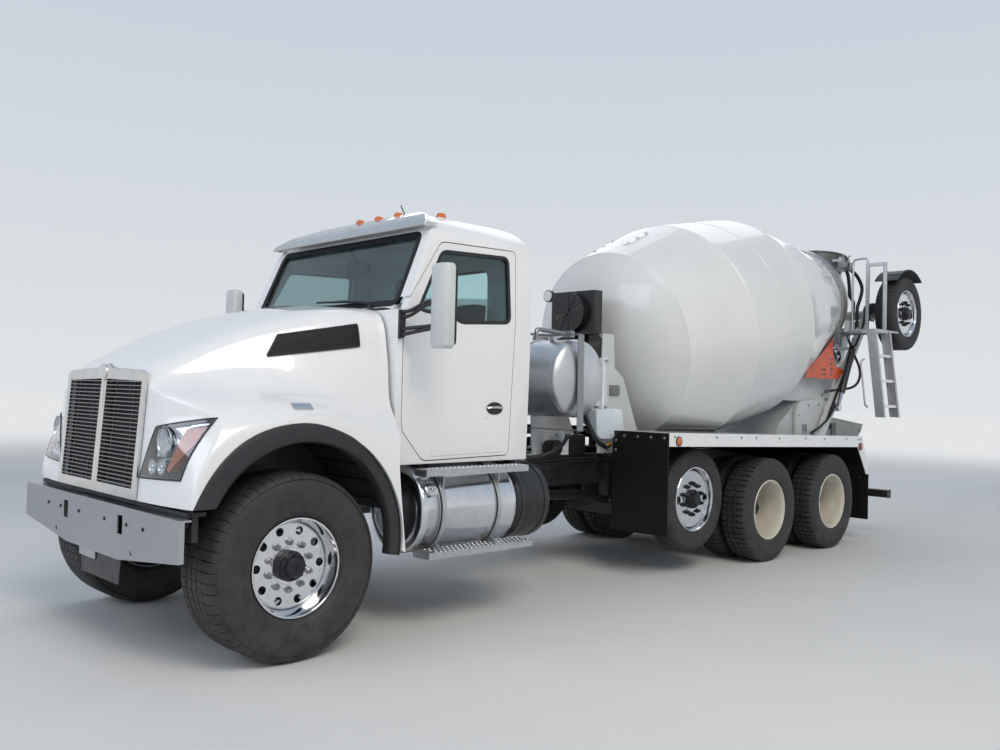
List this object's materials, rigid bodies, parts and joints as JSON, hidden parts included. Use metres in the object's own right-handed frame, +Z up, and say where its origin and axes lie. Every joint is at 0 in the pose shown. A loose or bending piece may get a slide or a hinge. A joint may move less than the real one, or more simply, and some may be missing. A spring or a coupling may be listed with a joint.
{
  "type": "concrete mixer truck",
  "caption": "Conventional-cab concrete mixer truck with tilted drum, charging hopper, swinging chute, lifted pusher axle and raised rear booster axle.",
  "frame": {"origin": "middle of the truck's box on the ground", "axes": "+X forward along the truck, +Y to the driver's left, +Z up"},
  "size_m": [10.314, 2.96, 3.6632],
  "materials": {
    "chassis_black": "satin black chassis enamel",
    "satin_steel": "brushed stainless",
    "engine_grey": "matte engine paint",
    "polished_aluminium": "polished",
    "plain_aluminium": "mill finish",
    "black_plastic": "moulded",
    "white_paint": "gloss white",
    "rim_cream": "gloss cream",
    "tyre_rubber": "matte",
    "flap_rubber": "matte",
    "bright_trim": "bright plated",
    "lamp_lens": "clear moulded lens",
    "window_glass": "tinted",
    "interior_grey": "grained",
    "pedestal_grey": "satin light grey",
    "machine_black": "satin black",
    "worn_steel": "worn bare steel",
    "rod_chrome": "ground and plated"
  },
  "bodies": {
    "chassis": {"frame": "chassis_black", "bumper": "satin_steel", "engine": "engine_grey", "front_axle": "chassis_black", "rear_axles": "chassis_black", "pusher_axle": "chassis_black", "fuel_tank": "polished_aluminium", "side_steps": "plain_aluminium", "chassis_boxes": "black_plastic", "fenders": "white_paint", "mud_flaps": "flap_rubber", "cab": "white_paint", "windows": "window_glass", "sun_visor": "white_paint", "mirrors": "pedestal_grey", "cab_interior": "interior_grey", "water_tank": "white_paint", "front_pedestal": "pedestal_grey", "drum_drive": "machine_black", "rear_pedestal": "pedestal_grey", "hopper": "pedestal_grey", "ladder": "plain_aluminium"},
    "hood_body": {"hood": "white_paint", "hood_trim": "black_plastic", "grille": "bright_trim", "headlamps": "lamp_lens"},
    "drum_body": {"drum": "white_paint"},
    "chute_post_body": {"chute_post": "machine_black"},
    "chute_body": {"chute": "worn_steel"},
    "booster_body": {"booster_frame": "pedestal_grey"},
    "barrels_body": {"booster_barrels": "machine_black"},
    "rods_body": {"booster_rods": "rod_chrome"},
    "knuckle_left_body": {"knuckle_left": "chassis_black"},
    "front_wheel_left": {"tyre_front_left": "tyre_rubber", "wheel_front_left": "polished_aluminium"},
    "pusher_wheel_left": {"tyre_pusher_left": "tyre_rubber", "wheel_pusher_left": "polished_aluminium"},
    "drive1_wheels_left": {"tyres_drive1_left": "tyre_rubber", "wheels_drive1_left": "rim_cream"},
    "drive2_wheels_left": {"tyres_drive2_left": "tyre_rubber", "wheels_drive2_left": "rim_cream"},
    "booster_wheel_left": {"tyre_booster_left": "tyre_rubber", "wheel_booster_left": "polished_aluminium"},
    "door_left_body": {"door_left": "white_paint", "door_glass_left": "window_glass"},
    "roller_left_body": {"roller_left": "worn_steel"},
    "knuckle_right_body": {"knuckle_right": "chassis_black"},
    "front_wheel_right": {"tyre_front_right": "tyre_rubber", "wheel_front_right": "polished_aluminium"},
    "pusher_wheel_right": {"tyre_pusher_right": "tyre_rubber", "wheel_pusher_right": "polished_aluminium"},
    "drive1_wheels_right": {"tyres_drive1_right": "tyre_rubber", "wheels_drive1_right": "rim_cream"},
    "drive2_wheels_right": {"tyres_drive2_right": "tyre_rubber", "wheels_drive2_right": "rim_cream"},
    "booster_wheel_right": {"tyre_booster_right": "tyre_rubber", "wheel_booster_right": "polished_aluminium"},
    "door_right_body": {"door_right": "white_paint", "door_glass_right": "window_glass"},
    "roller_right_body": {"roller_right": "worn_steel"}
  },
  "joints": [
    {"name": "steer_left", "type": "hinge", "parent": "chassis", "child": "knuckle_left_body", "pos_m": [4.4, 0.88, 0.56], "axis": [0, 0, 1], "range_deg": [-35, 35]},
    {"name": "front_spin_left", "type": "hinge", "parent": "knuckle_left_body", "child": "front_wheel_left", "pos_m": [4.4, 1.005, 0.56], "axis": [0, 1, 0], "continuous": true},
    {"name": "pusher_spin_left", "type": "hinge", "parent": "chassis", "child": "pusher_wheel_left", "pos_m": [0.1, 0.958, 0.682], "axis": [0, 1, 0], "continuous": true},
    {"name": "drive1_spin_left", "type": "hinge", "parent": "chassis", "child": "drive1_wheels_left", "pos_m": [-1.04, 0.91, 0.517], "axis": [0, 1, 0], "continuous": true},
    {"name": "drive2_spin_left", "type": "hinge", "parent": "chassis", "child": "drive2_wheels_left", "pos_m": [-2.38, 0.91, 0.517], "axis": [0, 1, 0], "continuous": true},
    {"name": "booster_spin_left", "type": "hinge", "parent": "booster_body", "child": "booster_wheel_left", "pos_m": [-4.63861, 0.958, 2.77], "axis": [0, 1, 0], "continuous": true},
    {"name": "door_left_hinge", "type": "hinge", "parent": "chassis", "child": "door_left_body", "pos_m": [3.536, 1.045, 1.9], "axis": [0, 0, 1], "range_deg": [-60, 0]},
    {"name": "roller_left_spin", "type": "hinge", "parent": "chassis", "child": "roller_left_body", "pos_m": [-3.79313, 0.45221, 2.18456], "axis": [-0.9802, 0, 0.1982], "continuous": true},
    {"name": "steer_right", "type": "hinge", "parent": "chassis", "child": "knuckle_right_body", "pos_m": [4.4, -0.88, 0.56], "axis": [0, 0, 1], "range_deg": [-35, 35]},
    {"name": "front_spin_right", "type": "hinge", "parent": "knuckle_right_body", "child": "front_wheel_right", "pos_m": [4.4, -1.005, 0.56], "axis": [0, 1, 0], "continuous": true},
    {"name": "pusher_spin_right", "type": "hinge", "parent": "chassis", "child": "pusher_wheel_right", "pos_m": [0.1, -0.958, 0.682], "axis": [0, 1, 0], "continuous": true},
    {"name": "drive1_spin_right", "type": "hinge", "parent": "chassis", "child": "drive1_wheels_right", "pos_m": [-1.04, -0.91, 0.517], "axis": [0, 1, 0], "continuous": true},
    {"name": "drive2_spin_right", "type": "hinge", "parent": "chassis", "child": "drive2_wheels_right", "pos_m": [-2.38, -0.91, 0.517], "axis": [0, 1, 0], "continuous": true},
    {"name": "booster_spin_right", "type": "hinge", "parent": "booster_body", "child": "booster_wheel_right", "pos_m": [-4.63861, -0.958, 2.77], "axis": [0, 1, 0], "continuous": true},
    {"name": "door_right_hinge", "type": "hinge", "parent": "chassis", "child": "door_right_body", "pos_m": [3.536, -1.045, 1.9], "axis": [0, 0, 1], "range_deg": [0, 60]},
    {"name": "roller_right_spin", "type": "hinge", "parent": "chassis", "child": "roller_right_body", "pos_m": [-3.79313, -0.45221, 2.18456], "axis": [-0.9802, 0, 0.1982], "continuous": true},
    {"name": "hood_tilt", "type": "hinge", "parent": "chassis", "child": "hood_body", "pos_m": [5.115, 0, 0.955], "axis": [0, 1, 0], "range_deg": [0, 60]},
    {"name": "drum_spin", "type": "hinge", "parent": "chassis", "child": "drum_body", "pos_m": [0.045, 0, 2.119], "axis": [-0.9802, 0, 0.1982], "continuous": true},
    {"name": "chute_swing", "type": "hinge", "parent": "chassis", "child": "chute_post_body", "pos_m": [-4.21, 0, 1], "axis": [0, 0, 1], "range_deg": [-90, 90]},
    {"name": "chute_lift", "type": "hinge", "parent": "chute_post_body", "child": "chute_body", "pos_m": [-4.21, 0, 1.29], "axis": [0, 1, 0], "range_deg": [-18, 6]},
    {"name": "booster_lift", "type": "hinge", "parent": "chassis", "child": "booster_body", "pos_m": [-3.35, 0, 1.15], "axis": [0, -1, 0], "range_deg": [0, 70.4]},
    {"name": "booster_barrel_turn", "type": "hinge", "parent": "chassis", "child": "barrels_body", "pos_m": [-4.05, 0.63, 2.3], "axis": [0, 1, 0], "range_deg": [0, 17.3]},
    {"name": "booster_rod_slide", "type": "slide", "parent": "barrels_body", "child": "rods_body", "axis": [0.456, 0, -0.89], "range_m": [0, 0.479]}
  ],
  "couplings": [
    {"joint": "steer_right", "follows": "steer_left", "ratio": 1},
    {"joint": "roller_left_spin", "follows": "drum_spin", "ratio": -5.64},
    {"joint": "roller_right_spin", "follows": "drum_spin", "ratio": -5.64},
    {"joint": "booster_barrel_turn", "follows": "booster_lift", "ratio": 0.2457},
    {"joint": "booster_rod_slide", "follows": "booster_lift", "m_per_rad": 0.3898}
  ]
}
